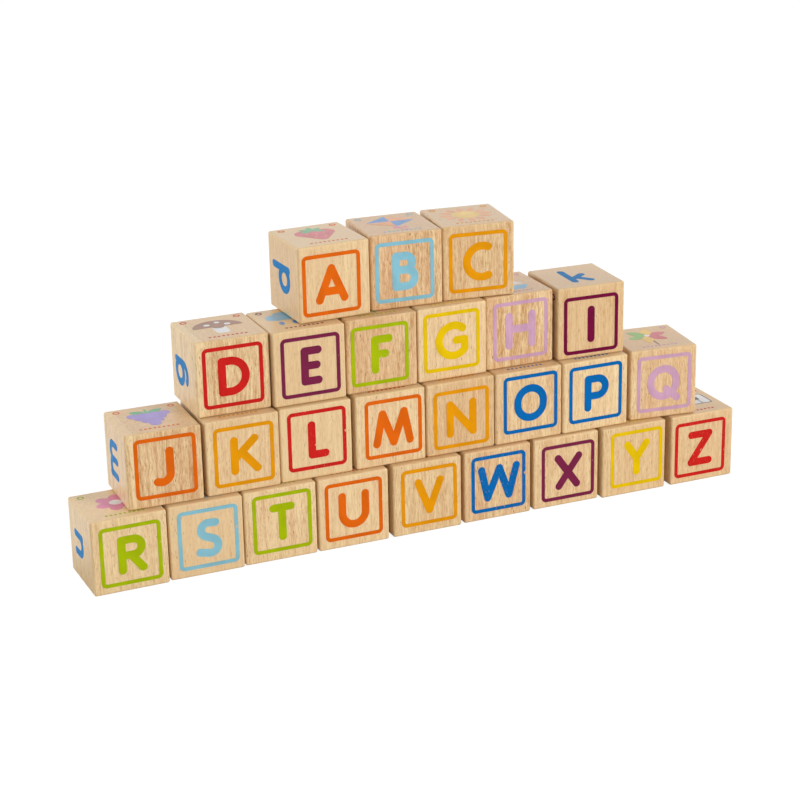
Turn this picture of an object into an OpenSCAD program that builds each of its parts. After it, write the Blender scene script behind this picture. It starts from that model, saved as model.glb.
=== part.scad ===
// A set of wooden alphabet cubes, stacked as a wall of four rows. Each cube is loose.
// Millimetres, +Z up, +X along the wall to the viewer's right, +Y away from the viewer.
// The origin is at the middle of the wall's box, on the surface that it stands on.

/* [Cubes] */
// Height of each cube, along its grain
block_side = 40; // [34:1:50]
// Width and depth of a cube as a share of its height. The stock is planed a little narrow.
section_share = 0.99; // [0.98:0.005:1]
// Radius of the sanded edges
edge_round = 1.2; // [0.8:0.1:3.5]
// Clearance between two rows, over the ink on the faces that meet
row_clearance = 0.1; // [0.05:0.05:0.3]

/* [Print] */
// Thickness of the printed ink
ink_thick = 0.1; // [0.05:0.01:0.15]
// Margin between the printed square frame and the end of the flat face
frame_margin = 2.5; // [1.5:0.1:4]
// Width of the frame's line
frame_line = 2; // [1:0.1:3]
// Outer corner radius of the frame
frame_corner = 2.8; // [1.5:0.1:5]
// Inner corner radius of the frame
frame_inner_corner = 0.9; // [0.4:0.1:3]
// Room between the frame's line and the top and foot of a capital letter
letter_margin = 3.9; // [3:0.1:6]
// Width of a letter's stroke
letter_stroke = 4.2; // [2.4:0.1:5]

/* [Hidden] */
$fn = 64;

// Letters of each row, from the bottom row up, left to right
row_letters = ["RSTUVWXYZ", "JKLMNOPQ", "DEFGHI", "ABC"];
// Which cube of the row below the first cube of a row stands over, counted from 0
row_over = [0, 0, 1, 1];
// How far right of that cube it stands, as shares of block_side
row_start_shares = [0, 0.5625, -0.0225, 0.43];
// Gap from each cube to its left neighbour, as shares of block_side. The gaps beside a
// turned cube also hold what its corners need.
gap_shares = [
    [0, 0.035, 0.02, 0.025, 0.065, 0.05, 0.05, 0.04, 0.09],
    [0, 0.04, 0.015, 0.0525, 0.02, 0.01, 0.0125, 0.12],
    [0, 0.01, 0.03, 0.02, 0.0225, 0.0625],
    [0, 0.0825, 0.0425],
];
// How far each cube's front stands back from one line, as shares of block_side
depth_shares = [
    [-0.235, -0.195, -0.175, -0.17, -0.165, -0.145, -0.135, -0.175, -0.175],
    [-0.105, -0.095, -0.07, -0.07, -0.06, -0.07, -0.08, -0.08],
    [0.07, 0.005, 0.05, 0.07, 0.125, 0.05],
    [0.19, 0.245, 0.195],
];
// Turn of each cube about its own vertical middle line, in degrees
turns = [
    [1, 0, 0, 0, 0, 0, 0, 0, 0],
    [-1, 0, 0, 0, 0, 0, 0, -6],
    [0, 0, 0, 0, 0, -2.5],
    [2, -3.5, -6.5],
];
// Where the print sits off the middle of each front, sideways and up, as shares of frame_margin
print_shares = [
    [[0.1, -0.1], [0.35, 0.1], [0.3, 0.45], [0, 0.25], [0.4, 0.25], [0.2, 0.25], [0.45, -0.2],
        [0.65, 0.3], [-0.45, -0.15]],
    [[0.25, 0.3], [0.25, -0.05], [0.2, 0.45], [0.6, 0.25], [0.15, -0.3], [0.4, 0.55], [0.05, 0.4], [0.2, 0]],
    [[-0.05, 0.05], [0.25, 0], [-0.45, -0.1], [-0.15, 0.3], [0.15, 0.1], [0, -0.65]],
    [[-0.65, -0.3], [-0.4, -0.1], [-0.1, -0.05]],
];

// Strokes of each letter from A to Z, as shares of the height between the middle lines of
// its lowest and highest strokes, from the middle of its foot. Four numbers are a straight
// stroke's two ends. Five are an arc's middle, its radius, and its first and last angle.
stroke_shares = [
    [[-0.42, 0, 0, 1], [0, 1, 0.43, 0], [-0.31, 0.26, 0.31, 0.26]],
    [[-0.3, 0, -0.3, 1], [-0.3, 1, 0.02, 1], [0.02, 0.77, 0.23, -90, 90], [-0.3, 0.54, 0.06, 0.54],
        [0.06, 0.27, 0.27, -90, 90], [-0.3, 0, 0.06, 0]],
    [[0.13, 0.5, 0.52, 66, 294]],
    [[-0.36, 0, -0.36, 1], [-0.36, 1, -0.09, 1], [-0.09, 0.5, 0.5, -90, 90], [-0.36, 0, -0.09, 0]],
    [[-0.2, 0, -0.2, 1], [-0.2, 1, 0.25, 1], [-0.2, 0.51, 0.2, 0.51], [-0.2, 0, 0.25, 0]],
    [[-0.17, 0, -0.17, 1], [-0.17, 1, 0.31, 1], [-0.17, 0.51, 0.18, 0.51]],
    [[0.06, 0.5, 0.51, 50, 322], [0.46, 0.19, 0.46, 0.5], [0.16, 0.5, 0.46, 0.5]],
    [[-0.42, 0, -0.42, 1], [0.42, 0, 0.42, 1], [-0.42, 0.55, 0.42, 0.55]],
    [[0, 0, 0, 1]],
    [[0.14, 1, 0.14, 0.28], [-0.14, 0.28, 0.28, -90, 0], [-0.28, 0.03, -0.14, 0]],
    [[-0.32, 0, -0.32, 1], [0.35, 1, -0.32, 0.38], [-0.08, 0.6, 0.42, 0]],
    [[-0.18, 0, -0.18, 1], [-0.18, 0, 0.27, 0]],
    [[-0.59, 0, -0.38, 1], [-0.38, 1, 0, 0], [0, 0, 0.37, 1], [0.37, 1, 0.57, 0]],
    [[-0.41, 0, -0.41, 1], [-0.41, 1, 0.41, 0], [0.41, 0, 0.41, 1]],
    [[0, 0.54, 0.47, 0, 180], [0.47, 0.46, 0.47, 0.54], [-0.47, 0.46, -0.47, 0.54],
        [0, 0.46, 0.47, 180, 360]],
    [[-0.29, 0, -0.29, 1], [-0.29, 1, 0.06, 1], [0.06, 0.7, 0.3, -90, 90], [-0.29, 0.4, 0.06, 0.4]],
    [[-0.03, 0.53, 0.47, 0, 180], [0.44, 0.49, 0.44, 0.53], [-0.5, 0.49, -0.5, 0.53],
        [-0.03, 0.49, 0.47, 180, 360], [0.08, 0.26, 0.47, -0.07]],
    [[-0.29, 0, -0.29, 1], [-0.29, 1, 0.09, 1], [0.09, 0.74, 0.26, -90, 90],
        [-0.29, 0.48, 0.09, 0.48], [0, 0.48, 0.37, 0]],
    [[0.012, 1, 0.237, 0.985], [-0.003, 0.765, 0.235, 86.3, 248.3], [-0.09, 0.547, 0.147, 0.452],
        [0.055, 0.22, 0.25, -101.3, 68.3], [-0.294, 0.035, 0.006, -0.025]],
    [[-0.29, 1, 0.3, 1], [0, 0, 0, 1]],
    [[-0.4, 0.4, -0.4, 1], [0.4, 0.4, 0.4, 1], [0, 0.4, 0.4, 180, 360]],
    [[-0.39, 1, 0, 0], [0, 0, 0.39, 1]],
    [[-0.62, 1, -0.4, 0], [-0.4, 0, 0.03, 1], [0.03, 1, 0.38, 0], [0.38, 0, 0.65, 1]],
    [[-0.38, 1, 0.33, 0], [0.4, 1, -0.34, 0]],
    [[-0.36, 1, 0, 0.48], [0.37, 1, 0, 0.48], [0, 0, 0, 0.48]],
    [[-0.35, 1, 0.35, 1], [0.35, 1, -0.35, 0], [-0.35, 0, 0.35, 0]],
];

alphabet = "ABCDEFGHIJKLMNOPQRSTUVWXYZ";
small_alphabet = "abcdefghijklmnopqrstuvwxyz";
block_section = section_share * block_side;
flat_side = block_section - 2 * edge_round;
frame_side = flat_side - 2 * frame_margin;
letter_height = frame_side - 2 * frame_line - 2 * letter_margin;
span = letter_height - letter_stroke;
// How far a stroke's round ends stand out past its sides, so that the two cross and don't just touch
end_swell = 0.02;
row_pitch = block_side + ink_thick + row_clearance;

// Colours of the wood and of the printing inks
wood = "#e6c79c";
orange = "#e8650f";
sky = "#80c4df";
amber = "#f09e00";
red = "#d92026";
purple = "#7a2258";
lime = "#9fbe00";
yellow = "#f0cc00";
lilac = "#cda0cc";
magenta = "#7a1048";
blue = "#0a74c4";
ink_colours = [
    orange, sky, amber, red, purple, lime, yellow, lilac, magenta, orange, amber, red, orange,
    amber, blue, blue, lilac, lime, sky, lime, orange, amber, blue, purple, yellow, red,
];

function total(list, count, sum = 0) = count == 0 ? sum : total(list, count - 1, sum + list[count - 1]);

// Left edge of a cube, measured from the wall's left end before it is centred
function start_of(row) = row == 0 ? 0 : left_of(row - 1, row_over[row]) + row_start_shares[row] * block_side;
function left_of(row, place) =
    start_of(row) + place * block_section + total(gap_shares[row], place + 1) * block_side;
function back_of(row, place) = depth_shares[row][place] * block_side;

// Half of the room that a turned cube with rounded edges takes
function reach(turn) =
    (block_section / 2 - edge_round) * (cos(turn) + sin(abs(turn))) + edge_round;

spots = [for (row = [0 : len(row_letters) - 1]) for (place = [0 : len(row_letters[row]) - 1]) [row, place]];
middles_x = [for (s = spots) left_of(s[0], s[1]) + block_section / 2];
middles_y = [for (s = spots) back_of(s[0], s[1]) + block_section / 2];
reaches = [for (s = spots) reach(turns[s[0]][s[1]])];
last = len(spots) - 1;
wall_left = min([for (i = [0 : last]) middles_x[i] - reaches[i]]);
wall_right = max([for (i = [0 : last]) middles_x[i] + reaches[i]]);
wall_front = min([for (i = [0 : last]) middles_y[i] - reaches[i]]) - ink_thick;
wall_back = max([for (i = [0 : last]) middles_y[i] + reaches[i]]);

// A rectangle with round corners, drawn flat
module rounded_rectangle(width, height, radius) {
    across = width / 2 - radius;
    along = height / 2 - radius;
    square([width, 2 * along], center = true);
    square([2 * across, height], center = true);
    for (u = [-across, across]) for (v = [-along, along]) translate([u, v]) circle(r = radius);
}

// A cube with round edges and corners, on z = 0
module rounded_cube() {
    across = block_section / 2 - edge_round;
    along = block_side / 2 - edge_round;
    translate([0, 0, block_side / 2]) union() {
        linear_extrude(2 * along, center = true)
            rounded_rectangle(block_section, block_section, edge_round);
        rotate([90, 0, 0]) linear_extrude(2 * across, center = true)
            rounded_rectangle(block_section, block_side, edge_round);
        rotate([0, 90, 0]) linear_extrude(2 * across, center = true)
            rounded_rectangle(block_side, block_section, edge_round);
        for (u = [-across, across]) for (v = [-across, across]) for (w = [-along, along])
            translate([u, v, w]) sphere(r = edge_round);
    }
}

// A round end or joint of a stroke
module dot(x, y) {
    translate([x, y, 0]) cylinder(h = ink_thick, r = letter_stroke / 2 + end_swell);
}

// A straight stroke with round ends
module straight(x0, y0, x1, y1) {
    dot(x0, y0);
    dot(x1, y1);
    run = norm([x1 - x0, y1 - y0]);
    translate([x0, y0, 0]) rotate([0, 0, atan2(y1 - y0, x1 - x0)])
        translate([0, -letter_stroke / 2, 0]) cube([run, letter_stroke, ink_thick]);
}

// A stroke along an arc, with round ends
module bow(x, y, radius, first, end) {
    near = max(0, radius - letter_stroke / 2);
    far = radius + letter_stroke / 2;
    for (angle = [first, end]) dot(x + radius * cos(angle), y + radius * sin(angle));
    translate([x, y, 0]) rotate([0, 0, first]) rotate_extrude(angle = end - first)
        translate([near, 0]) square([far - near, ink_thick]);
}

// A letter, lying flat, centred on its middle
module letter(index) {
    translate([0, -span / 2, 0]) for (s = stroke_shares[index]) {
        if (len(s) == 4) straight(s[0] * span, s[1] * span, s[2] * span, s[3] * span);
        if (len(s) == 5) bow(s[0] * span, s[1] * span, s[2] * span, s[3], s[4]);
    }
}

// The printed square frame, lying flat
module frame() {
    linear_extrude(ink_thick) difference() {
        rounded_rectangle(frame_side, frame_side, frame_corner);
        rounded_rectangle(frame_side - 2 * frame_line, frame_side - 2 * frame_line, frame_inner_corner);
    }
}

// Puts its children where the cube in this spot stands, with the cube's middle line at x = y = 0
module at_spot(spot) {
    row = spot[0];
    place = spot[1];
    translate([
        left_of(row, place) + block_section / 2 - (wall_left + wall_right) / 2,
        back_of(row, place) + block_section / 2 - (wall_front + wall_back) / 2,
        row * row_pitch
    ]) rotate([0, 0, turns[row][place]]) children();
}

// One wooden cube
module block(spot) {
    color(wood) at_spot(spot) rounded_cube();
}

// The print on the front of one cube: its frame and its capital letter
module print(spot) {
    off_share = print_shares[spot[0]][spot[1]];
    index = search(row_letters[spot[0]][spot[1]], alphabet)[0];
    color(ink_colours[index]) at_spot(spot)
        translate([
            off_share[0] * frame_margin,
            -block_section / 2,
            block_side / 2 + off_share[1] * frame_margin
        ]) rotate([90, 0, 0]) {
            frame();
            letter(index);
        }
}

for (spot = spots) {
    small = small_alphabet[search(row_letters[spot[0]][spot[1]], alphabet)[0]];
    block(spot);
    print(spot);
}
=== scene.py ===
import math

import bpy
from mathutils import Matrix, Quaternion, Vector
from mathutils.geometry import delaunay_2d_cdt


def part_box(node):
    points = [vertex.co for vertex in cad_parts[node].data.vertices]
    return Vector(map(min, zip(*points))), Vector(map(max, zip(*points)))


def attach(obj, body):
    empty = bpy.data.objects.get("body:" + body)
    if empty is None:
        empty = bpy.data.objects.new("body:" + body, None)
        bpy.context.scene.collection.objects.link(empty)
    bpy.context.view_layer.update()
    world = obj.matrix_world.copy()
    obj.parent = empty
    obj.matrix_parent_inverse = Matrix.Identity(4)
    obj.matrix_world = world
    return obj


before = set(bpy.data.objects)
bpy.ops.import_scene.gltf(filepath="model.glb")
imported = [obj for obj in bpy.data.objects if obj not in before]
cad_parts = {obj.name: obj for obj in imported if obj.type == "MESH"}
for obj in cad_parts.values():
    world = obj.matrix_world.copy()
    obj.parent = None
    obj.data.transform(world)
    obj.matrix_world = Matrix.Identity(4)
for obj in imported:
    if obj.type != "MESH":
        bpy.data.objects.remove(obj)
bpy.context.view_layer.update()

# The cubes, in metres, as the frame holds them
LETTERS = "abcdefghijklmnopqrstuvwxyz"
LOW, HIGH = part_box("block_v")
SIDE = HIGH.z - LOW.z
WIDE = HIGH.x - LOW.x
# Turn of the cubes that don't stand square in their row, in degrees about the vertical
TURNS = {"a": 2.0, "b": -3.5, "c": -6.5, "i": -2.5, "j": -1.0, "q": -6.0, "r": 1.0}
MM_PER_M = 1000


def middle(letter):
    """The middle of a cube."""
    low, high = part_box("block_" + letter)
    return (low + high) / 2


def turn(letter):
    """How far a cube is turned about the vertical, in radians."""
    return math.radians(TURNS.get(letter, 0.0))


# Camera: the photograph's place, direction and lens, for a square picture
CAMERA_PLACE = Vector((-0.4192, -0.971, 0.4427))
CAMERA_LOOK = Vector((0.3697, 0.8663, -0.3359))
CAMERA_ROLL = math.radians(-1.18)
CAMERA_LENS = 94.76
CAMERA_SENSOR = 36.0


def make_camera():
    data = bpy.data.cameras.new("camera")
    data.sensor_width = CAMERA_SENSOR
    data.lens = CAMERA_LENS
    data.clip_start = 0.01
    camera = bpy.data.objects.new("camera", data)
    camera.location = CAMERA_PLACE
    camera.rotation_mode = "QUATERNION"
    level = CAMERA_LOOK.to_track_quat("-Z", "Y")
    camera.rotation_quaternion = level @ Quaternion((0, 0, 1), CAMERA_ROLL)
    bpy.context.scene.collection.objects.link(camera)
    bpy.context.scene.camera = camera


# Nodes


class Nodes:
    """Adds nodes to one tree and joins them."""

    def __init__(self, tree):
        self.tree = tree

    def add(self, kind, inputs=None, **settings):
        """A node with its settings, and its inputs linked or set."""
        node = self.tree.nodes.new(kind)
        for name, value in settings.items():
            setattr(node, name, value)
        for name, value in (inputs or {}).items():
            if isinstance(value, bpy.types.NodeSocket):
                self.tree.links.new(value, node.inputs[name])
            else:
                node.inputs[name].default_value = value
        return node

    def math(self, operation, first, second=0.0, clamp=False):
        node = self.add("ShaderNodeMath", {0: first, 1: second}, operation=operation, use_clamp=clamp)
        return node.outputs[0]

    def stretch(self, vector, factors):
        """A vector with each of its parts multiplied."""
        return self.add("ShaderNodeVectorMath", {0: vector, 1: factors}, operation="MULTIPLY").outputs[0]

    def noise(self, vector, detail=2.0, roughness=0.5):
        inputs = {"Vector": vector, "Scale": 1.0, "Detail": detail, "Roughness": roughness}
        return self.add("ShaderNodeTexNoise", inputs).outputs[0]

    def noise_along(self, distance, scale, detail):
        """Noise that changes in one direction only."""
        inputs = {"W": distance, "Scale": scale, "Detail": detail}
        return self.add("ShaderNodeTexNoise", inputs, noise_dimensions="1D").outputs[0]

    def between(self, value, low, high, to_low=0.0, to_high=1.0):
        """A smooth step from to_low to to_high, as value goes from low to high."""
        inputs = {"Value": value, "From Min": low, "From Max": high, "To Min": to_low, "To Max": to_high}
        return self.add("ShaderNodeMapRange", inputs, interpolation_type="SMOOTHSTEP").outputs[0]

    def mix(self, share, first, second):
        """A mix of two colours. Sockets 6 and 7 take them, and output 2 gives it."""
        inputs = {0: share, 6: first, 7: second}
        return self.add("ShaderNodeMix", inputs, data_type="RGBA").outputs[2]


def colour(red, green, blue):
    """A colour given as it shows on a screen, from 0 to 255, as the linear numbers that a node takes."""
    shares = [value / 255 for value in (red, green, blue)]
    return [s / 12.92 if s <= 0.04045 else ((s + 0.055) / 1.055) ** 2.4 for s in shares] + [1.0]


# Wood

PALE_WOOD = colour(242, 216, 168)
TAN_WOOD = colour(190, 136, 82)
PINK_WOOD = colour(226, 176, 136)
PORE_BROWN = colour(104, 60, 28)
# Colour of the painted highlight along the rim of each face, standing in for light on the rounded edges
PAINTED_EDGE_HIGHLIGHT = colour(237, 208, 154)
# How far the grain moves on from one cube to the next, in millimetres
GRAIN_STEP = (37.1, 91.7, 53.3)
RING_STEP = 311.0
# How far off the tree's middle lies, in millimetres, and its turn from one cube to the next, in radians
PITH_AWAY = 75.0
PITH_TURN = 2.4
# How fine each pattern is, per millimetre: twice across the grain, then along it
WAVER_SCALE = (0.05, 0.05, 0.028)
STREAK_SCALE = (0.62, 0.62, 0.025)
FIBRE_SCALE = (1.8, 1.8, 0.22)
PORE_SCALE = (0.8, 0.8, 0.16)
CROWD_SCALE = (0.16, 0.16, 0.03)
SPECK_SCALE = (1.6, 1.6, 0.24)
BLUSH_SCALE = (0.09, 0.09, 0.02)
BAND_SCALE = 0.3
# How far the grain wavers, in millimetres
WAVER_REACH = 3.0
# How much each part of the grain moves the tone
BAND_SWING = 0.8
STREAK_SWING = 2.5
FIBRE_SWING = 2.0
DARK_FIBRE_SWING = 2.4
# What the plainest wood has of the grain and of the pores' colour, and what the most streaked has more
GRAIN_LEAST = 0.15
GRAIN_MORE = 0.85
PORES_LEAST = 0.36
PORES_MORE = 0.75
# How much of the grain and pores shows on the end grain
END_SHARE = 0.45
# Where the glued strip ends, from the middle of the face in millimetres, and how much paler it is
SEAM_FROM = -15.6
SEAM_TO = -15.2
SEAM_PALER = 0.22
# How far from the edges the painted highlight along each face's rim begins, in millimetres, and how strong
# its colour is
HIGHLIGHT_RIM_WIDTH = 4.0
HIGHLIGHT_RIM_SHARE = 0.15
BLUSH_SHARE = 0.5


def wood_group():
    """Rubberwood with its grain upright: soft growth bands, fine streaks and short dark pores."""
    tree = bpy.data.node_groups.new("wood_grain", "ShaderNodeTree")
    tree.interface.new_socket("Place", in_out="INPUT", socket_type="NodeSocketVector")
    for name in ("Seed", "Tone", "Streaks", "Pink", "Seam"):
        tree.interface.new_socket(name, in_out="INPUT", socket_type="NodeSocketFloat")
    tree.interface.new_socket("Colour", in_out="OUTPUT", socket_type="NodeSocketColor")
    for name in ("Height", "Pores"):
        tree.interface.new_socket(name, in_out="OUTPUT", socket_type="NodeSocketFloat")
    n = Nodes(tree)
    given = n.add("NodeGroupInput").outputs
    place = given["Place"]
    seed = given["Seed"]
    parts = n.add("ShaderNodeSeparateXYZ", {0: place}).outputs

    # The grain hardly wavers on its way up
    shift = n.add("ShaderNodeVectorMath", {0: GRAIN_STEP, "Scale": seed}, operation="SCALE").outputs[0]
    here = n.add("ShaderNodeVectorMath", {0: place, 1: shift}, operation="ADD").outputs[0]
    waver = n.math("SUBTRACT", n.noise(n.stretch(here, WAVER_SCALE)), 0.5)
    bend = n.math("MULTIPLY", waver, WAVER_REACH)
    bent = n.add("ShaderNodeCombineXYZ", {0: bend, 1: bend}).outputs[0]
    here = n.add("ShaderNodeVectorMath", {0: here, 1: bent}, operation="ADD").outputs[0]

    # Growth bands lie round the tree's middle, some way off the cube
    pith_way = n.math("MULTIPLY", seed, PITH_TURN)
    pith_x = n.math("MULTIPLY", n.math("COSINE", pith_way), PITH_AWAY)
    pith_y = n.math("MULTIPLY", n.math("SINE", pith_way), PITH_AWAY)
    across = n.add("ShaderNodeCombineXYZ", {
        0: n.math("ADD", n.math("SUBTRACT", parts[0], pith_x), bend),
        1: n.math("ADD", n.math("SUBTRACT", parts[1], pith_y), bend),
    }).outputs[0]
    ring = n.add("ShaderNodeVectorMath", {0: across}, operation="LENGTH").outputs["Value"]
    ring = n.math("ADD", ring, n.math("MULTIPLY", seed, RING_STEP))
    bands = n.math("SUBTRACT", n.noise_along(ring, BAND_SCALE, 4.0), 0.5)
    streaks = n.math("SUBTRACT", n.noise(n.stretch(here, STREAK_SCALE), 4.0, 0.68), 0.5)
    fibres = n.math("SUBTRACT", n.noise(n.stretch(here, FIBRE_SCALE), 3.0, 0.65), 0.5)

    # Pores are short dark dashes along the grain, and dots on the end grain
    cells = n.add("ShaderNodeTexVoronoi", {"Vector": n.stretch(here, PORE_SCALE), "Scale": 1.0})
    dash = n.between(cells.outputs["Distance"], 0.08, 0.19, 1.0, 0.0)
    crowd = n.between(n.noise(n.stretch(here, CROWD_SCALE)), 0.44, 0.62)
    small = n.add("ShaderNodeTexVoronoi", {"Vector": n.stretch(here, SPECK_SCALE), "Scale": 1.0})
    speck = n.between(small.outputs["Distance"], 0.08, 0.26, 1.0, 0.0)
    pores = n.math("ADD", n.math("MULTIPLY", dash, crowd), n.math("MULTIPLY", speck, 0.5), clamp=True)
    half = SIDE * MM_PER_M / 2
    end_grain = n.between(n.math("ABSOLUTE", parts[2]), half - 0.8, half - 0.2, 1.0, END_SHARE)
    pores = n.math("MULTIPLY", pores, end_grain)

    # A strip that was glued on at the left edge, paler than the rest
    strip = n.between(parts[0], SEAM_FROM, SEAM_TO, 1.0, 0.0)
    strip = n.math("MULTIPLY", strip, given["Seam"])

    swing = n.math("ADD", n.math("MULTIPLY", bands, BAND_SWING), n.math("MULTIPLY", streaks, STREAK_SWING))
    swing = n.math("ADD", swing, n.math("MULTIPLY", fibres, FIBRE_SWING))
    dark_fibres = n.math("SUBTRACT", n.math("MAXIMUM", fibres, 0.0), 0.04)
    swing = n.math("ADD", swing, n.math("MULTIPLY", dark_fibres, DARK_FIBRE_SWING))
    swing = n.math("MULTIPLY", swing, end_grain)
    strength = n.math("ADD", n.math("MULTIPLY", given["Streaks"], GRAIN_MORE), GRAIN_LEAST)
    tone = n.math("ADD", given["Tone"], n.math("MULTIPLY", swing, strength))
    tone = n.math("SUBTRACT", tone, n.math("MULTIPLY", strip, SEAM_PALER), clamp=True)
    body = n.mix(tone, PALE_WOOD, TAN_WOOD)
    blush = n.between(n.noise(n.stretch(here, BLUSH_SCALE)), 0.35, 0.65, 0.2, 1.0)
    pink = n.math("MULTIPLY", given["Pink"], n.math("MULTIPLY", blush, BLUSH_SHARE))
    body = n.mix(pink, body, PINK_WOOD)

    # Painted highlight: each face's rim is made lighter and yellower, standing in for light on the rounded
    # edges. Its mask comes from the second largest distance from the middle
    sizes = [n.math("ABSOLUTE", part) for part in parts]
    largest = n.math("MAXIMUM", sizes[0], n.math("MAXIMUM", sizes[1], sizes[2]))
    least = n.math("MINIMUM", sizes[0], n.math("MINIMUM", sizes[1], sizes[2]))
    both = n.math("ADD", sizes[0], n.math("ADD", sizes[1], sizes[2]))
    second = n.math("SUBTRACT", n.math("SUBTRACT", both, largest), least)
    painted_edge_highlight = n.between(second, half - HIGHLIGHT_RIM_WIDTH, half - 0.5)
    body = n.mix(n.math("MULTIPLY", painted_edge_highlight, HIGHLIGHT_RIM_SHARE), body, PAINTED_EDGE_HIGHLIGHT)

    depth = n.math("ADD", n.math("MULTIPLY", given["Streaks"], PORES_MORE), PORES_LEAST)
    body = n.mix(n.math("MULTIPLY", pores, depth), body, PORE_BROWN)
    height = n.math("SUBTRACT", n.math("MULTIPLY", fibres, 0.3), pores)
    n.add("NodeGroupOutput", {"Colour": body, "Height": height, "Pores": pores})
    return tree


WOOD_GRAIN = wood_group()

# Each cube's wood and print: tone from pale to tan, streaks, pink cast, and how chipped its print is
LOOKS = {
    "a": (0.31, 0.20, 0.3, 0.2), "b": (0.61, 0.85, 0.9, 0.1), "c": (0.50, 0.53, 0.3, 0.1),
    "d": (0.42, 0.65, 0.3, 0.1), "e": (0.35, 0.09, 0.2, 0.1), "f": (0.53, 0.65, 0.7, 0.9),
    "g": (0.20, 0.36, 0.6, 0.1), "h": (0.56, 0.78, 0.8, 0.2), "i": (0.48, 0.20, 0.2, 0.1),
    "j": (0.47, 0.76, 0.5, 0.1), "k": (0.30, 0.35, 0.4, 0.1), "l": (0.27, 0.15, 0.2, 0.8),
    "m": (0.23, 0.45, 0.5, 0.2), "n": (0.50, 0.36, 0.5, 0.1), "o": (0.39, 0.50, 0.5, 0.1),
    "p": (0.23, 0.40, 0.3, 0.1), "q": (0.45, 0.56, 0.7, 0.2), "r": (0.23, 0.40, 0.3, 0.5),
    "s": (0.25, 0.12, 0.6, 0.7), "t": (0.19, 0.65, 0.5, 0.1), "u": (0.18, 0.30, 0.5, 0.5),
    "v": (0.36, 0.45, 0.2, 0.1), "w": (0.46, 0.70, 0.8, 1.0), "x": (0.35, 0.50, 0.5, 0.2),
    "y": (0.38, 0.28, 0.3, 0.3), "z": (0.40, 0.28, 0.4, 1.0),
}
# The cubes with a strip glued on
SEAMED = "dj"
# How strong the coat of clear lacquer is over wood and pictures, and over the other prints
LACQUER = 0.9
PRINT_COAT = 0.1
# How deep the bumps are, in millimetres
WOOD_BUMP = 0.05
INK_BUMP = 0.04


def new_material(name):
    material = bpy.data.materials.new(name)
    material.use_nodes = True
    material.node_tree.nodes.clear()
    return material, Nodes(material.node_tree)


def grain(n, letter):
    """The wood of one cube. Returns the group's outputs, and the place in millimetres from its middle."""
    tone, streaks, pink, _ = LOOKS[letter]
    place = n.add("ShaderNodeTexCoord").outputs["Object"]
    square = n.add("ShaderNodeMapping", {
        "Vector": place,
        "Location": middle(letter),
        "Rotation": (0, 0, turn(letter)),
    }, vector_type="TEXTURE").outputs[0]
    square = n.stretch(square, (MM_PER_M,) * 3)
    group = n.add("ShaderNodeGroup", node_tree=WOOD_GRAIN)
    n.tree.links.new(square, group.inputs["Place"])
    group.inputs["Seed"].default_value = LETTERS.index(letter) + 1
    group.inputs["Tone"].default_value = tone
    group.inputs["Streaks"].default_value = streaks
    group.inputs["Pink"].default_value = pink
    group.inputs["Seam"].default_value = float(letter in SEAMED)
    return group.outputs, square


def finish_surface(n, base, roughness, height, depth, coat):
    """A matt ground under a coat of clear lacquer."""
    bump = n.add("ShaderNodeBump", {"Strength": 0.5, "Distance": depth / MM_PER_M, "Height": height})
    shader = n.add("ShaderNodeBsdfPrincipled", {
        "Base Color": base,
        "Roughness": roughness,
        "Specular IOR Level": 0.05,
        "Normal": bump.outputs[0],
        "Coat Weight": coat,
        "Coat Roughness": 0.3,
    })
    n.add("ShaderNodeOutputMaterial", {"Surface": shader.outputs[0]})


def wood_material(letter):
    material, n = new_material("wood_" + letter)
    wood, _ = grain(n, letter)
    roughness = n.between(wood["Pores"], 0.0, 1.0, 0.42, 0.7)
    finish_surface(n, wood["Colour"], roughness, wood["Height"], WOOD_BUMP, LACQUER)
    return material


# Ink

INKS = {
    "orange": colour(225, 101, 7), "sky": colour(129, 192, 211), "amber": colour(229, 151, 0),
    "red": colour(204, 32, 28), "purple": colour(123, 36, 71), "lime": colour(166, 185, 0),
    "yellow": colour(229, 191, 0), "lilac": colour(200, 154, 191), "magenta": colour(116, 12, 59),
    "blue": colour(0, 103, 176), "letter_blue": colour(28, 130, 198), "rose": colour(214, 92, 100),
    "leaf": colour(96, 176, 120), "tan": colour(214, 160, 104), "pink": colour(226, 128, 168),
    "violet": colour(158, 138, 210), "white": colour(238, 238, 240), "black": colour(40, 40, 44),
    "brown": colour(150, 96, 60), "pale_blue": colour(118, 184, 222), "sun": colour(244, 200, 84),
    "peach": colour(240, 160, 96), "spring": colour(140, 190, 90), "small_blue": colour(62, 140, 208),
}
# The ink of each cube's framed capital, which its picture's trimmings and number share
CUBE_INKS = {
    "orange": "ajmu", "sky": "bs", "amber": "cknv", "red": "dlz", "purple": "ex", "lime": "frt",
    "yellow": "gy", "lilac": "hq", "magenta": "i", "blue": "opw",
}
PICTURE_INKS = [
    "rose", "leaf", "tan", "pink", "violet", "white", "black", "brown", "pale_blue", "sun", "peach",
    "spring", "small_blue",
]
# How much wood shows through an ink
SHEER = {"lilac": 0.15, "sky": 0.04}
# Brightness of ink where it lies thickest
THICK_INK = 0.86
# The noise of the flakes, the level above which ink is missing, and how much a chipped print lowers it
FLAKE_SCALE = (0.6, 0.6, 0.4)
FLAKE_LEVEL = 0.735
FLAKE_DROP = 0.085
# How much of the pores shows through whole ink, and how much more through a chipped print
PORES_THROUGH = 0.02
PORES_CHIPPED = 0.3
PATCH_SCALE = (0.11, 0.11, 0.11)


def ink_of(letter):
    return next(name for name, cubes in CUBE_INKS.items() if letter in cubes)


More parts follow.
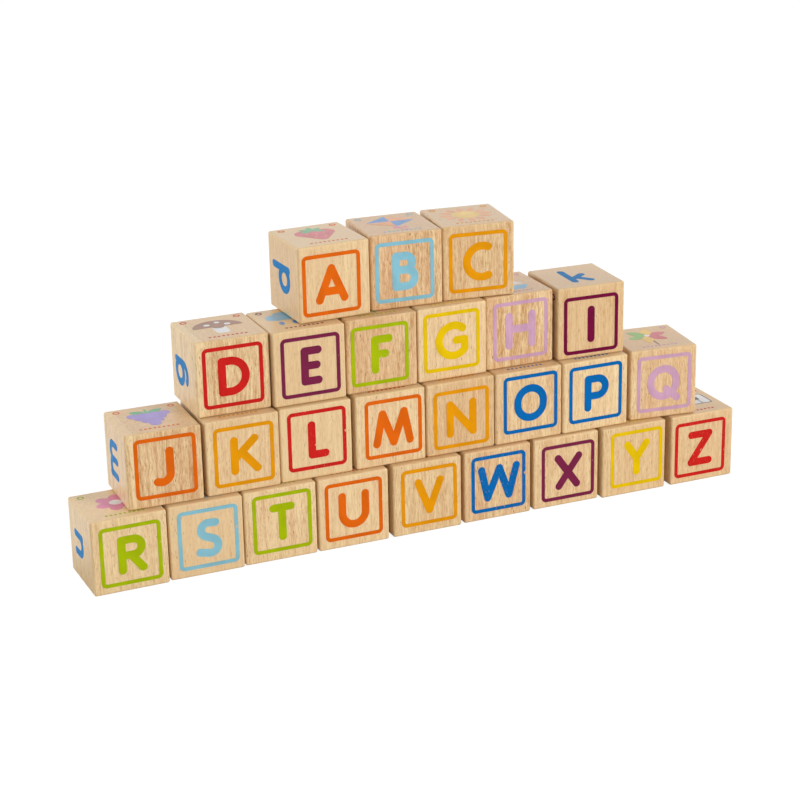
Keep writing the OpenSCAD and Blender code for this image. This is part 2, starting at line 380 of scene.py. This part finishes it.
def ink_material(name, letter):
    """Screen-printed ink on one cube's wood: a little uneven, sunk in the pores and chipped in places."""
    chips = LOOKS[letter][3]
    material, n = new_material(f"ink_{name}_{letter}")
    wood, place = grain(n, letter)
    patches = n.noise(n.stretch(place, PATCH_SCALE))
    thick = [THICK_INK * part for part in INKS[name][:3]] + [1.0]
    shade = n.mix(n.between(patches, 0.3, 0.7), INKS[name], thick)
    flakes = n.noise(n.stretch(place, FLAKE_SCALE), 5.0, 0.66)
    least = FLAKE_LEVEL - FLAKE_DROP * chips
    bare = n.between(flakes, least, least + 0.02)
    sunk = n.math("MULTIPLY", wood["Pores"], PORES_THROUGH + PORES_CHIPPED * chips)
    through = n.math("ADD", n.math("MAXIMUM", bare, sunk), SHEER.get(name, 0.0), clamp=True)
    base = n.mix(through, shade, wood["Colour"])
    roughness = n.between(patches, 0.3, 0.7, 0.34, 0.46)
    height = n.math("SUBTRACT", n.math("MULTIPLY", wood["Height"], 0.5), bare)
    coat = LACQUER if name in PICTURE_INKS else PRINT_COAT
    finish_surface(n, base, roughness, height, INK_BUMP, coat)
    return material


ink_cache = {}


def ink(name, letter):
    """The material of an ink on one cube."""
    if (name, letter) not in ink_cache:
        ink_cache[name, letter] = ink_material(name, letter)
    return ink_cache[name, letter]


# Flat outlines, as shares of the cube's side from the middle of a face, anticlockwise

ARC_STEP = math.radians(8)
BLADE_STEPS = 8


def arc(x, y, radius, first, end):
    """Points along an arc, angles in radians."""
    steps = max(2, round(abs(end - first) / ARC_STEP))
    angles = [first + (end - first) * i / steps for i in range(steps + 1)]
    return [(x + radius * math.cos(a), y + radius * math.sin(a)) for a in angles]


def turned(points, x, y, lean):
    """Points turned by lean degrees and then moved to x, y."""
    cosine, sine = math.cos(math.radians(lean)), math.sin(math.radians(lean))
    return [(x + u * cosine - v * sine, y + u * sine + v * cosine) for u, v in points]


def disc(x, y, wide, high=None, lean=0.0):
    """An ellipse, given its half width and half height, turned by lean degrees."""
    high = high or wide
    return turned([(wide * u, high * v) for u, v in arc(0, 0, 1, 0, 2 * math.pi)[:-1]], x, y, lean)


def bar(x0, y0, x1, y1, width):
    """A straight stroke with round ends."""
    along = math.atan2(y1 - y0, x1 - x0)
    quarter = math.pi / 2
    far = arc(x1, y1, width / 2, along - quarter, along + quarter)
    near = arc(x0, y0, width / 2, along + quarter, along + 3 * quarter)
    return far + near


def bow(x, y, radius, first, end, width):
    """A stroke along an arc, angles in degrees, with round ends. A whole circle comes as two halves."""
    if end - first >= 360:
        half = (first + end) / 2
        return bow(x, y, radius, first, half, width) + bow(x, y, radius, half, end, width)
    a, b = math.radians(first), math.radians(end)
    outer = arc(x, y, radius + width / 2, a, b)
    cap = arc(x + radius * math.cos(b), y + radius * math.sin(b), width / 2, b, b + math.pi)[1:-1]
    inner = arc(x, y, radius - width / 2, b, a)
    foot = arc(x + radius * math.cos(a), y + radius * math.sin(a), width / 2, a + math.pi, a + 2 * math.pi)
    return [outer + cap + inner + foot[1:-1]]


def blade(x, y, length, width, angle):
    """A leaf or petal with pointed ends, from its foot at x, y, in the direction of angle in degrees."""
    half_chord, sag = length / 2, width / 2
    radius = (half_chord ** 2 + sag ** 2) / (2 * sag)
    reach = math.asin(min(1.0, half_chord / radius))
    points = []
    for side in (-1, 1):
        for i in range(BLADE_STEPS + 1):
            a = reach * (2 * i / BLADE_STEPS - 1) * -side
            along = half_chord - radius * math.sin(a)
            out = side * (radius * math.cos(a) - (radius - sag))
            points.append((along, out))
    return turned(points, x, y, angle)


def star(x, y, outer, inner, count):
    """A star with one of its points up."""
    points = []
    for i in range(2 * count):
        radius = inner if i % 2 else outer
        a = math.pi / 2 + math.pi * i / count
        points.append((x + radius * math.cos(a), y + radius * math.sin(a)))
    return points


def rounded(width, height, radius, x=0.0, y=0.0):
    """A rectangle with round corners."""
    u, v = width / 2 - radius, height / 2 - radius
    points = []
    for i, (sx, sy) in enumerate([(1, 1), (-1, 1), (-1, -1), (1, -1)]):
        points += arc(x + sx * u, y + sy * v, radius, math.pi / 2 * i, math.pi / 2 * (i + 1))
    return points


def strokes(shares, size, width, x=0.0, y=0.0):
    """A letter or number as outlines. Four numbers are a straight stroke and five an arc."""
    outlines = []
    for numbers in shares:
        if len(numbers) == 4:
            x0, y0, x1, y1 = (value * size for value in numbers)
            outlines.append(bar(x0 + x, y0 + y, x1 + x, y1 + y, width))
        else:
            u, v, radius = (value * size for value in numbers[:3])
            outlines += bow(u + x, v + y, radius, numbers[3], numbers[4], width)
    return outlines


# Small letters and numbers, from the middle of the foot line. A small x is 0.62 high and a stem 1.05.
SMALL = {
    "a": [(0, 0.31, 0.31, 0, 360), (0.31, 0, 0.31, 0.62)],
    "b": [(-0.31, 0, -0.31, 1.05), (0, 0.31, 0.31, 0, 360)],
    "c": [(0.05, 0.31, 0.31, 52, 308)],
    "d": [(0, 0.31, 0.31, 0, 360), (0.31, 0, 0.31, 1.05)],
    "e": [(0, 0.31, 0.31, 0, 315), (-0.31, 0.31, 0.31, 0.31)],
    "f": [(-0.04, 0, -0.04, 0.85), (0.16, 0.85, 0.2, 90, 180), (-0.24, 0.6, 0.16, 0.6)],
    "g": [(0, 0.31, 0.31, 0, 360), (0.31, -0.02, 0.31, 0.62), (0, -0.02, 0.31, 235, 360)],
    "h": [(-0.27, 0, -0.27, 1.05), (0, 0.35, 0.27, 0, 180), (0.27, 0, 0.27, 0.35)],
    "i": [(0, 0, 0, 0.62), (0, 0.95, 0, 0.9501)],
    "j": [(0.1, -0.05, 0.1, 0.62), (-0.12, -0.05, 0.22, 270, 360), (0.1, 0.95, 0.1, 0.9501)],
    "k": [(-0.24, 0, -0.24, 1.05), (0.24, 0.6, -0.24, 0.22), (-0.05, 0.37, 0.28, 0)],
    "l": [(0, 0, 0, 1.05)],
    "m": [(-0.46, 0, -0.46, 0.62), (-0.23, 0.39, 0.23, 0, 180), (0, 0, 0, 0.39),
          (0.23, 0.39, 0.23, 0, 180), (0.46, 0, 0.46, 0.39)],
    "n": [(-0.27, 0, -0.27, 0.62), (0, 0.35, 0.27, 0, 180), (0.27, 0, 0.27, 0.35)],
    "o": [(0, 0.31, 0.31, 0, 360)],
    "p": [(-0.31, -0.28, -0.31, 0.62), (0, 0.31, 0.31, 0, 360)],
    "q": [(0.31, -0.28, 0.31, 0.62), (0, 0.31, 0.31, 0, 360)],
    "r": [(-0.14, 0, -0.14, 0.62), (0.1, 0.36, 0.24, 62, 180)],
    "s": [(0.02, 0.465, 0.155, 62, 270), (0.02, 0.155, 0.155, -118, 90), (-0.2, 0, -0.05, 0)],
    "t": [(-0.04, 0.18, -0.04, 0.95), (0.14, 0.18, 0.18, 180, 270), (-0.22, 0.62, 0.16, 0.62)],
    "u": [(-0.27, 0.27, -0.27, 0.62), (0, 0.27, 0.27, 180, 360), (0.27, 0, 0.27, 0.62)],
    "v": [(-0.27, 0.62, 0, 0), (0, 0, 0.27, 0.62)],
    "w": [(-0.44, 0.62, -0.23, 0), (-0.23, 0, 0, 0.56), (0, 0.56, 0.23, 0), (0.23, 0, 0.44, 0.62)],
    "x": [(-0.25, 0.62, 0.25, 0), (0.25, 0.62, -0.25, 0)],
    "y": [(-0.27, 0.62, 0.01, 0), (0.27, 0.62, -0.12, -0.28)],
    "z": [(-0.23, 0.62, 0.23, 0.62), (0.23, 0.62, -0.23, 0), (-0.23, 0, 0.23, 0)],
}
# The numbers 0 to 9, one high
NUMBERS = [
    [(0, 0.68, 0.32, 0, 180), (-0.32, 0.32, -0.32, 0.68), (0.32, 0.32, 0.32, 0.68),
     (0, 0.32, 0.32, 180, 360)],
    [(0.06, 0, 0.06, 1), (0.06, 1, -0.2, 0.8)],
    [(0, 0.7, 0.3, -30, 165), (0.26, 0.55, -0.3, 0), (-0.3, 0, 0.3, 0)],
    [(0, 0.755, 0.245, -90, 140), (-0.01, 0.26, 0.26, -140, 90)],
    [(0.12, 1, -0.34, 0.3), (-0.34, 0.3, 0.34, 0.3), (0.14, 0, 0.14, 0.55)],
    [(-0.22, 1, 0.24, 1), (-0.22, 1, -0.25, 0.55), (-0.02, 0.32, 0.32, -140, 132)],
    [(0, 0.31, 0.31, 0, 360), (-0.3, 0.38, 0.12, 1)],
    [(-0.3, 1, 0.3, 1), (0.3, 1, -0.06, 0)],
    [(0, 0.76, 0.24, 0, 360), (0, 0.27, 0.27, 0, 360)],
    [(0, 0.69, 0.31, 0, 360), (0.3, 0.62, -0.12, 0)],
]


# Films of ink on the faces


def inside(point, outline):
    """Whether a point lies in an outline."""
    x, y = point
    found = False
    for (x0, y0), (x1, y1) in zip(outline, outline[1:] + outline[:1]):
        if (y0 > y) != (y1 > y) and x < x0 + (y - y0) * (x1 - x0) / (y1 - y0):
            found = not found
    return found


def fused(outlines):
    """Triangles that cover outlines which may overlap."""
    points, faces = [], []
    for outline in outlines:
        faces.append(list(range(len(points), len(points) + len(outline))))
        points += [Vector(point) for point in outline]
    corners, _, triangles, *_ = delaunay_2d_cdt(points, [], faces, 0, 1e-6)
    kept = []
    for triangle in triangles:
        centre = sum((corners[i] for i in triangle), Vector((0, 0))) / 3
        if any(inside(centre, outline) for outline in outlines):
            kept.append(list(triangle))
    return corners, kept


# What each face's right and up directions are, seen from outside with the cube upright
FACES = {
    "left": (Vector((0, -1, 0)), Vector((0, 0, 1))),
    "right": (Vector((0, 1, 0)), Vector((0, 0, 1))),
    "back": (Vector((-1, 0, 0)), Vector((0, 0, 1))),
    "top": (Vector((1, 0, 0)), Vector((0, 1, 0))),
}
# How far a film of ink stands off the wood, and how much further each layer on it, in metres
FILM = 0.00004
LAYER = 0.00001


def face_matrix(letter, face):
    """From the middle of a face, x right, y up and z out of it, to where it is."""
    right, up = FACES[face]
    out = right.cross(up)
    facing = Matrix((right, up, out)).transposed().to_4x4()
    away = (SIDE if face == "top" else WIDE) / 2
    at_face = Matrix.Translation(out * away) @ facing
    return Matrix.Translation(middle(letter)) @ Matrix.Rotation(turn(letter), 4, "Z") @ at_face


def film(name, letter, layers):
    """A printed piece of one cube. Each layer is a face, an ink, its outlines and how far up it lies."""
    mesh = bpy.data.meshes.new(name)
    vertices, faces, slots = [], [], []
    ink_names = list(dict.fromkeys(layer[1] for layer in layers))
    for face, ink_name, outlines, level in layers:
        place = face_matrix(letter, face)
        corners, triangles = fused(outlines)
        count, start = len(corners), len(vertices)
        for height in (0.0, FILM + LAYER * level):
            vertices += [place @ Vector((c.x * SIDE, c.y * SIDE, height)) for c in corners]
        edges = {(a, b) for t in triangles for a, b in zip(t, t[1:] + t[:1])}
        rims = [(a, b) for a, b in edges if (b, a) not in edges]
        made = [[start + i for i in reversed(t)] for t in triangles]
        made += [[start + count + i for i in t] for t in triangles]
        made += [[start + a, start + b, start + count + b, start + count + a] for a, b in rims]
        faces += made
        slots += [ink_names.index(ink_name)] * len(made)
    mesh.from_pydata(vertices, [], faces)
    for ink_name in ink_names:
        mesh.materials.append(ink(ink_name, letter))
    mesh.polygons.foreach_set("material_index", slots)
    mesh.validate()
    piece = bpy.data.objects.new(name, mesh)
    bpy.context.scene.collection.objects.link(piece)
    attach(piece, "cube_" + letter)


# Small letters: blue, on the left and right faces, lying with their tops away from the framed capital

SMALL_SIZE = 0.45
SMALL_STROKE = 0.1
# How far a small letter sits from the middle of its face, towards its own top
SMALL_RISE = 0.07
# How far below the middle of the face it sits on some cubes
SMALL_DROPS = {"a": 0.02, "d": 0.055}
# Which small letters a cube has, as places in the alphabet after its own
LEFT_AHEAD = 3
TOP_AHEAD = 2
RIGHT_AHEAD = 13
# The framed number on the back
NUMBER_SIZE = 0.4
NUMBER_STROKE = 0.105
BORDER_STROKE = 0.05
# How far from the middle the border's line runs, and where its round corners begin
BORDER_FAR = 0.3775
BORDER_NEAR = 0.3325


def laid(outlines):
    """Outlines turned a quarter anticlockwise."""
    return [[(-y, x) for x, y in outline] for outline in outlines]


def centred(outlines, across, rise):
    """Outlines with the middle of their box at x = across and y = rise."""
    xs = [x for outline in outlines for x, _ in outline]
    ys = [y for outline in outlines for _, y in outline]
    mid_x, mid_y = (min(xs) + max(xs)) / 2, (min(ys) + max(ys)) / 2
    return [[(x - mid_x + across, y - mid_y + rise) for x, y in outline] for outline in outlines]


def small_letter(index, across=0.0, rise=SMALL_RISE):
    """The outlines of a small letter, given its place in the alphabet, which goes round after z."""
    drawn = strokes(SMALL[LETTERS[index % len(LETTERS)]], SMALL_SIZE, SMALL_STROKE)
    return centred(drawn, across, rise)


def square_border():
    """A square frame like the one round each capital letter."""
    far, near = BORDER_FAR, BORDER_NEAR
    lines = [bar(-near, y, near, y, BORDER_STROKE) for y in (-far, far)]
    lines += [bar(x, -near, x, near, BORDER_STROKE) for x in (-far, far)]
    for x, y, first in ((near, near, 0), (-near, near, 90), (-near, -near, 180), (near, -near, 270)):
        lines += bow(x, y, far - near, first, first + 90, BORDER_STROKE)
    return lines


# Pictures: plain toy motifs


def strawberry():
    fruit = arc(-0.11, 0.06, 0.12, math.pi / 2, math.pi * 1.1)
    fruit += arc(0, -0.17, 0.07, math.pi * 1.2, math.pi * 1.8)
    fruit += arc(0.11, 0.06, 0.12, -math.pi * 0.1, math.pi / 2)
    places = ((-0.1, 0.02), (0.1, 0.02), (0, -0.03), (-0.05, -0.12), (0.06, -0.13))
    seeds = [blade(x, y, 0.045, 0.02, 90) for x, y in places]
    crown = [blade(0, 0.15, 0.15, 0.07, a) for a in (-20, 35, 90, 145, 200)]
    return [("rose", [fruit]), ("peach", seeds), ("leaf", crown)]


def kite():
    bows = [[(0.03, -0.2), (0.1, -0.17), (0.1, -0.25)], [(0.03, -0.2), (-0.04, -0.15), (-0.05, -0.24)]]
    return [
        ("small_blue", [[(0.0, 0.3), (-0.28, 0.08), (0.0, -0.16)],
                        [(0, -0.16), (0.28, 0.08), (0.0, 0.08)]]),
        ("peach", [[(0.0, 0.3), (0.0, 0.08), (0.28, 0.08)], [(0.0, -0.16), (0, 0.08), (-0.28, 0.08)]]),
        ("pink", bow(0.13, -0.2, 0.13, 150, 250, 0.015) + bows),
    ]


def sun():
    rays = [blade(0.15 * math.cos(a), 0.15 * math.sin(a), 0.15, 0.07, math.degrees(a))
            for a in [math.pi / 6 * i for i in range(12)]]
    return [("peach", rays), ("sun", [disc(0, 0, 0.15)])]


def mushroom():
    cap = [(1.2 * x, y) for x, y in arc(0, 0.0, 0.23, 0, math.pi) + arc(0, 0.0, 0.06, math.pi, 2 * math.pi)]
    return [
        ("white", [rounded(0.15, 0.26, 0.05, 0, -0.1)]),
        ("brown", [cap]),
        ("white", [disc(-0.1, 0.09, 0.035), disc(0.03, 0.15, 0.03), disc(0.12, 0.06, 0.035)]),
    ]


def cloud():
    puffs = [disc(-0.2, 0.06, 0.1), disc(-0.07, 0.12, 0.13), disc(0.09, 0.1, 0.12), disc(0.21, 0.05, 0.09)]
    drops = [blade(x, -0.22, 0.13, 0.06, 80) for x in (-0.2, -0.05, 0.1)]
    return [("pale_blue", puffs + [rounded(0.5, 0.13, 0.06, 0, 0.02)]), ("small_blue", drops)]


def sprig():
    leaves = [blade(0, y, 0.17, 0.08, a) for y in (-0.18, -0.05, 0.08) for a in (35, 145)]
    return [("leaf", [bar(0, -0.28, 0, 0.2, 0.025), blade(0, 0.12, 0.17, 0.08, 90)] + leaves)]


def balloon():
    return [("brown", bow(0.12, -0.2, 0.12, 150, 230, 0.014)),
            ("sun", [disc(0, 0.08, 0.17, 0.2), [(-0.04, -0.15), (0.04, -0.15), (0, -0.1)]])]


def boat():
    return [
        ("brown", [bar(0, -0.12, 0, 0.28, 0.02)]),
        ("white", [[(0.03, -0.08), (0.22, -0.08), (0.03, 0.26)]]),
        ("pale_blue", [[(-0.03, -0.08), (-0.03, 0.2), (-0.18, -0.08)],
                       [(-0.26, -0.13), (-0.16, -0.27), (0.16, -0.27), (0.26, -0.13)]]),
    ]


def bright_star():
    return [("sun", [star(0, 0, 0.27, 0.12, 5)])]


def grapes():
    rows = [(4, 0.1), (3, 0.0), (2, -0.1), (1, -0.2)]
    bunch = [disc((i - (count - 1) / 2) * 0.115, y, 0.064) for count, y in rows for i in range(count)]
    leaves = [blade(0, 0.15, 0.2, 0.1, 25), blade(0, 0.15, 0.2, 0.1, 155)]
    return [("leaf", leaves + [bar(0, 0.14, 0, 0.27, 0.025)]), ("violet", bunch)]


def fan_leaf():
    return [("brown", [bar(0, -0.28, 0, -0.05, 0.025)]),
            ("peach", [blade(0, -0.12, 0.38, 0.12, a) for a in (30, 60, 90, 120, 150)])]


def heart():
    lobes = [disc(-0.1, 0.08, 0.125), disc(0.1, 0.08, 0.125)]
    return [("rose", lobes + [[(-0.205, 0.01), (0, -0.24), (0.205, 0.01), (0, 0.15)]])]


def moon():
    crescent = arc(0, 0, 0.24, math.radians(50), math.radians(310))
    crescent += arc(0.13, 0, 0.185, math.radians(277), math.radians(83))
    return [("sun", [crescent]), ("small_blue", [star(0.12, 0.08, 0.07, 0.03, 5)])]


def acorn():
    return [("tan", [disc(0, -0.05, 0.13, 0.19)]),
            ("brown", [arc(0, 0.05, 0.17, 0, math.pi), bar(0, 0.2, 0.03, 0.28, 0.03)])]


def target():
    return [("small_blue", [disc(0, 0, 0.25)]), ("white", [disc(0, 0, 0.17)]), ("rose", [disc(0, 0, 0.09)])]


def parcel():
    loops = bow(-0.06, 0.2, 0.05, 0, 360, 0.025) + bow(0.06, 0.2, 0.05, 0, 360, 0.025)
    ribbon = [rounded(0.07, 0.41, 0.01, 0, -0.06)]
    return [
        ("violet", [rounded(0.38, 0.32, 0.03, 0, -0.1)]),
        ("pink", [rounded(0.46, 0.1, 0.02, 0, 0.09)]),
        ("sun", ribbon + loops),
    ]


def pinwheel():
    layers = [("brown", [bar(0, -0.3, 0, 0, 0.025)])]
    for i, name in enumerate(("rose", "sun", "spring", "spring", "sun", "rose")):
        layers.append((name, [blade(0, 0.05, 0.26, 0.13, 60 * i + 15)]))
    return layers + [("white", [disc(0, 0.05, 0.035)])]


def flower():
    petals = [disc(0.13 * math.cos(a), 0.13 * math.sin(a), 0.1, 0.075, math.degrees(a))
              for a in [2 * math.pi * i / 6 + 0.3 for i in range(6)]]
    return [("pink", petals), ("white", [disc(0, 0, 0.07)])]


def snowflake():
    arms = []
    for i in range(6):
        a = math.pi / 3 * i + math.pi / 6
        u, v = math.cos(a), math.sin(a)
        arms.append(bar(0, 0, 0.26 * u, 0.26 * v, 0.028))
        for b in (a - 0.8, a + 0.8):
            tip = (0.16 * u + 0.08 * math.cos(b), 0.16 * v + 0.08 * math.sin(b))
            arms.append(bar(0.16 * u, 0.16 * v, *tip, 0.024))
    return [("pale_blue", arms)]


def tree():
    tiers = [[(-w, y), (w, y), (0, y + 0.2)] for w, y in ((0.22, -0.15), (0.18, -0.03), (0.13, 0.09))]
    return [("brown", [rounded(0.07, 0.18, 0.01, 0, -0.2)]), ("leaf", tiers)]


def umbrella():
    roof = arc(0, 0.02, 0.26, 0, math.pi)
    for x in (-0.173, 0.0, 0.173):
        roof += arc(x, 0.02, 0.0866, math.pi, 0)[1:-1]
    handle = [bar(0, -0.2, 0, 0.3, 0.022)] + bow(0.05, -0.2, 0.05, 180, 360, 0.022)
    return [("brown", handle), ("peach", [roof])]


def vase():
    blooms = [disc(x, y, 0.06) for x, y in ((-0.12, 0.2), (0, 0.26), (0.12, 0.2))]
    stems = [bar(0, -0.05, x, 0.2, 0.018) for x in (-0.12, 0, 0.12)]
    jar = [(-0.07, 0.02), (-0.13, -0.12), (-0.08, -0.27), (0.08, -0.27), (0.13, -0.12), (0.07, 0.02)]
    return [("leaf", stems), ("rose", blooms), ("sun", [jar])]


def waves():
    lines = []
    for y in (-0.16, 0.0, 0.16):
        for i in range(4):
            start, end = (0, 180) if i % 2 else (180, 360)
            lines += bow(-0.21 + 0.14 * i, y, 0.07, start, end, 0.035)
    return [("small_blue", lines)]


def crossed():
    petals = [blade(0, 0, 0.27, 0.13, 45 + 90 * i) for i in range(4)]
    return [("violet", petals), ("sun", [disc(0, 0, 0.05)])]


def spinner():
    return [("brown", bow(0.0, 0.19, 0.08, -80, 120, 0.014)),
            ("sun", [disc(0, -0.05, 0.21)]), ("rose", [disc(0, -0.05, 0.08)])]


def piano_keys():
    gaps = [bar(x, -0.14, x, 0.14, 0.012) for x in (-0.18, -0.06, 0.06, 0.18)]
    keys = [rounded(0.06, 0.17, 0.01, x, 0.06) for x in (-0.18, -0.06, 0.06, 0.18)]
    return [
        ("black", [rounded(0.62, 0.32, 0.03)]),
        ("white", [rounded(0.59, 0.29, 0.02)]),
        ("black", gaps + keys),
    ]


PICTURES = {
    "a": strawberry, "b": kite, "c": sun, "d": mushroom, "e": cloud, "f": sprig, "g": balloon, "h": boat,
    "i": bright_star, "j": grapes, "k": fan_leaf, "l": heart, "m": moon, "n": acorn, "o": target,
    "p": parcel, "q": pinwheel, "r": flower, "s": snowflake, "t": tree, "u": umbrella, "v": vase,
    "w": waves, "x": crossed, "y": spinner, "z": piano_keys,
}
# The cube that lies with a small letter up and its picture to the left
LETTER_UP = "i"
# How much larger than drawn a picture is printed, and how far above the middle of its face
PICTURE_WIDE = 1.2
PICTURE_HIGH = 1.15
PICTURE_RISE = 0.03
# A row of dots under each picture and a ring in two corners
TRIM_AWAY = 0.36
DOT_STEP = 0.06
DOT_RADIUS = 0.019
RING_RADIUS = 0.036
RING_STROKE = 0.018


def enlarged(outlines):
    """A picture's outlines at their printed size, a little above the middle of the face."""
    wide, high, rise = PICTURE_WIDE, PICTURE_HIGH, PICTURE_RISE
    return [[(wide * x, high * y + rise) for x, y in outline] for outline in outlines]


def make_prints():
    """Each cube's picture, small letters and number, as three pieces."""
    for index, letter in enumerate(LETTERS):
        trim = ink_of(letter)
        drawn = PICTURES[letter]()
        picture = [(name, enlarged(outlines), level) for level, (name, outlines) in enumerate(drawn)]
        trimmings = [disc(DOT_STEP * i, -TRIM_AWAY, DOT_RADIUS) for i in range(-4, 5)]
        for x in (-TRIM_AWAY, TRIM_AWAY):
            trimmings += bow(x, TRIM_AWAY, RING_RADIUS, 0, 360, RING_STROKE)
        picture.append((trim, trimmings, 0))
        picture_face, letter_face = "top", "left"
        small = laid(small_letter(index + LEFT_AHEAD, -SMALL_DROPS.get(letter, 0.0)))
        if letter == LETTER_UP:
            picture_face, letter_face = "left", "top"
            small = small_letter(index + TOP_AHEAD, rise=0.0)
        film("picture_" + letter, letter, [(picture_face, *layer) for layer in picture])
        film("small_" + letter, letter, [
            (letter_face, "letter_blue", small, 0),
            ("right", "letter_blue", laid(small_letter(index + RIGHT_AHEAD)), 0),
        ])
        shares = NUMBERS[(index + 1) % len(NUMBERS)]
        number = strokes(shares, NUMBER_SIZE, NUMBER_STROKE, 0.0, -NUMBER_SIZE / 2)
        film("number_" + letter, letter, [("back", trim, square_border() + number, 0)])


def dress_cubes():
    for letter in LETTERS:
        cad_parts["block_" + letter].material_slots[0].material = wood_material(letter)
        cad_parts["print_" + letter].material_slots[0].material = ink(ink_of(letter), letter)


# Stage and light

# How far the floor reaches each way, and how far under the cubes it lies, in metres
FLOOR_REACH = 12.0
FLOOR_DROP = 0.00005
FLOOR_GREY = (0.82, 0.82, 0.82, 1)
# The floor's own glow as the camera sees it, and its share of what the camera sees
FLOOR_GLOW = 1.2
GLOW_SHARE = 0.75
# Strength of the light from all round
SOFT_LIGHT = 0.38
# Where the lamps are aimed and how far off they stand, in metres
LAMP_TARGET = Vector((0, 0, 0.08))
LAMP_DISTANCE = 2.0


def by_ray(n, lit, seen, mirrored):
    """One surface for light that spreads, one for the camera and one for the lacquer's reflections."""
    path = n.add("ShaderNodeLightPath").outputs
    direct = n.math("MAXIMUM", path["Is Camera Ray"], path["Is Transmission Ray"])
    both = n.add("ShaderNodeMixShader", {0: direct, 1: lit.outputs[0], 2: seen.outputs[0]}).outputs[0]
    mixed = n.add("ShaderNodeMixShader", {0: path["Is Glossy Ray"], 1: both, 2: mirrored.outputs[0]})
    return mixed.outputs[0]


def make_floor():
    """A white floor with a light shadow. The lacquer mirrors it darker in front."""
    far = FLOOR_REACH
    mesh = bpy.data.meshes.new("floor")
    mesh.from_pydata([(-far, -far, 0), (far, -far, 0), (far, far, 0), (-far, far, 0)], [], [(0, 1, 2, 3)])
    floor = bpy.data.objects.new("floor", mesh)
    floor.location.z = -FLOOR_DROP
    bpy.context.scene.collection.objects.link(floor)
    material, n = new_material("floor")
    lit = n.add("ShaderNodeBsdfDiffuse", {"Color": FLOOR_GREY})
    white = n.add("ShaderNodeEmission", {"Color": (1, 1, 1, 1), "Strength": FLOOR_GLOW})
    seen = n.add("ShaderNodeMixShader", {0: GLOW_SHARE, 1: lit.outputs[0], 2: white.outputs[0]})
    place = n.add("ShaderNodeSeparateXYZ", {0: n.add("ShaderNodeTexCoord").outputs["Object"]}).outputs
    behind = n.between(place[1], -0.03, 0.06, 0.02, 0.75)
    beside = n.between(place[0], -0.6, -0.25, 0.7, 0.0)
    mirrored = n.add("ShaderNodeEmission", {"Strength": n.math("MAXIMUM", behind, beside)})
    n.add("ShaderNodeOutputMaterial", {"Surface": by_ray(n, lit, seen, mirrored)})
    mesh.materials.append(material)


def make_world():
    """Soft light all round, white to the camera. The lacquer mirrors it bright from behind and above."""
    world = bpy.data.worlds.new("studio")
    world.use_nodes = True
    world.node_tree.nodes.clear()
    n = Nodes(world.node_tree)
    soft = n.add("ShaderNodeBackground", {"Color": (1, 1, 1, 1), "Strength": SOFT_LIGHT})
    white = n.add("ShaderNodeBackground", {"Color": (1, 1, 1, 1), "Strength": 1.0})
    way = n.add("ShaderNodeSeparateXYZ", {0: n.add("ShaderNodeTexCoord").outputs["Generated"]}).outputs
    behind = n.between(way[1], -0.3, 0.1, 0.02, 1.38)
    above = n.between(way[2], 0.3, 0.6, 0.0, 1.5)
    mirrored = n.add("ShaderNodeBackground", {"Strength": n.math("MAXIMUM", behind, above)})
    n.add("ShaderNodeOutputWorld", {"Surface": by_ray(n, soft, white, mirrored)})
    bpy.context.scene.world = world


def make_lamp(name, azimuth, elevation, size, watts):
    """A square soft light. Azimuth is in degrees, 0 in front of the wall and 90 to its left."""
    around, up = math.radians(azimuth), math.radians(elevation)
    away = Vector((-math.sin(around) * math.cos(up), -math.cos(around) * math.cos(up), math.sin(up)))
    data = bpy.data.lights.new(name, "AREA")
    data.size = size
    data.energy = watts
    lamp = bpy.data.objects.new(name, data)
    lamp.location = LAMP_TARGET + LAMP_DISTANCE * away
    lamp.rotation_mode = "QUATERNION"
    lamp.rotation_quaternion = (-away).to_track_quat("-Z", "Y")
    lamp.visible_glossy = False
    bpy.context.scene.collection.objects.link(lamp)


make_camera()
dress_cubes()
make_prints()
make_floor()
make_world()
make_lamp("key", -30.0, 20.0, 0.7, 27.8)
make_lamp("left", 115.0, 15.0, 1.2, 17.8)
make_lamp("back", 165.0, 20.0, 0.7, 8.0)

bpy.context.scene.view_settings.view_transform = "Standard"
